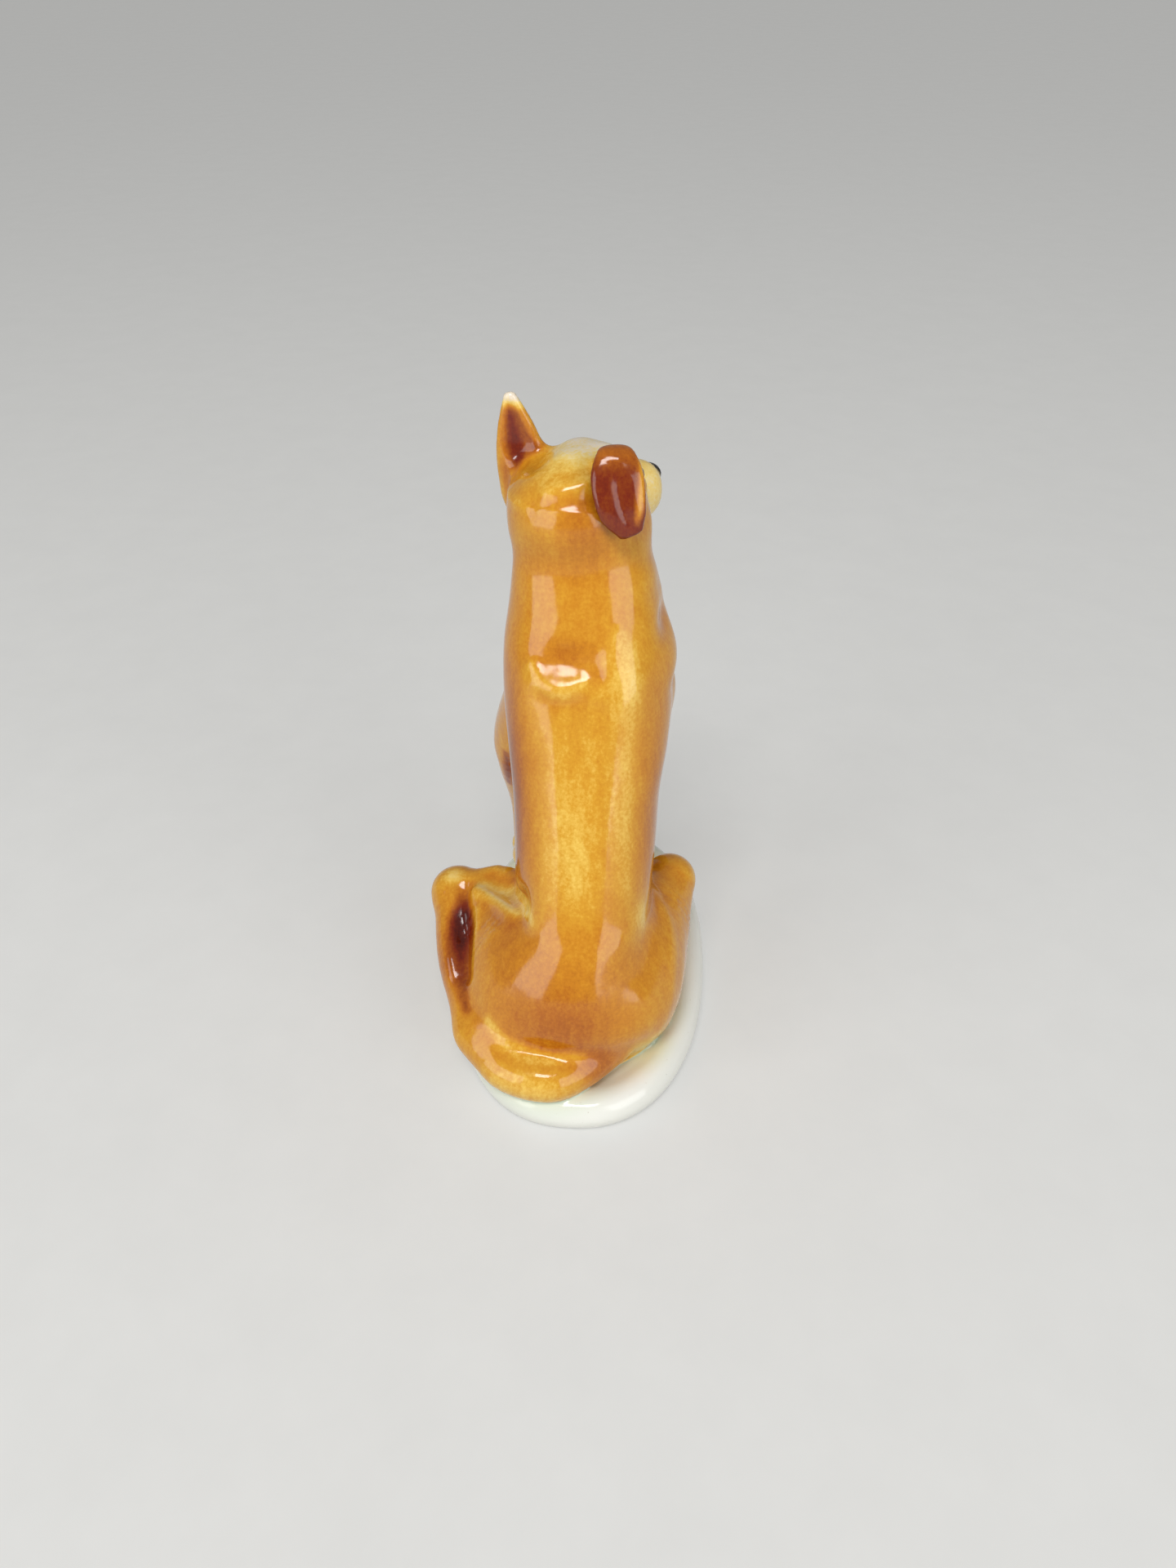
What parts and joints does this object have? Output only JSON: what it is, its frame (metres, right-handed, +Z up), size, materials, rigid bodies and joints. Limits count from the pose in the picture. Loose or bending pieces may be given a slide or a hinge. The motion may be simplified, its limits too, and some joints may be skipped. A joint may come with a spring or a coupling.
{
  "type": "porcelain dog figurine",
  "caption": "Glazed porcelain ornament: a slender dog sitting upright on a low oval plinth, head turned to its right, one ear up and one folded, tail curled round behind.",
  "frame": {"origin": "middle of the plinth's flat underside, on the surface that the figurine stands on", "axes": "+Z up, -Y the way the dog's body faces, +X the dog's left"},
  "size_m": [0.0621, 0.0924, 0.1342],
  "materials": {
    "white_glaze": "gloss",
    "brown_glaze": "gloss"
  },
  "bodies": {
    "root": {"plinth": "white_glaze", "torso": "brown_glaze", "head": "brown_glaze", "ear_left_upright": "brown_glaze", "ear_right_folded": "brown_glaze", "foreleg_left": "brown_glaze", "foreleg_right": "brown_glaze", "hind_leg_left": "brown_glaze", "hind_leg_right": "brown_glaze", "tail": "brown_glaze"}
  },
  "joints": []
}
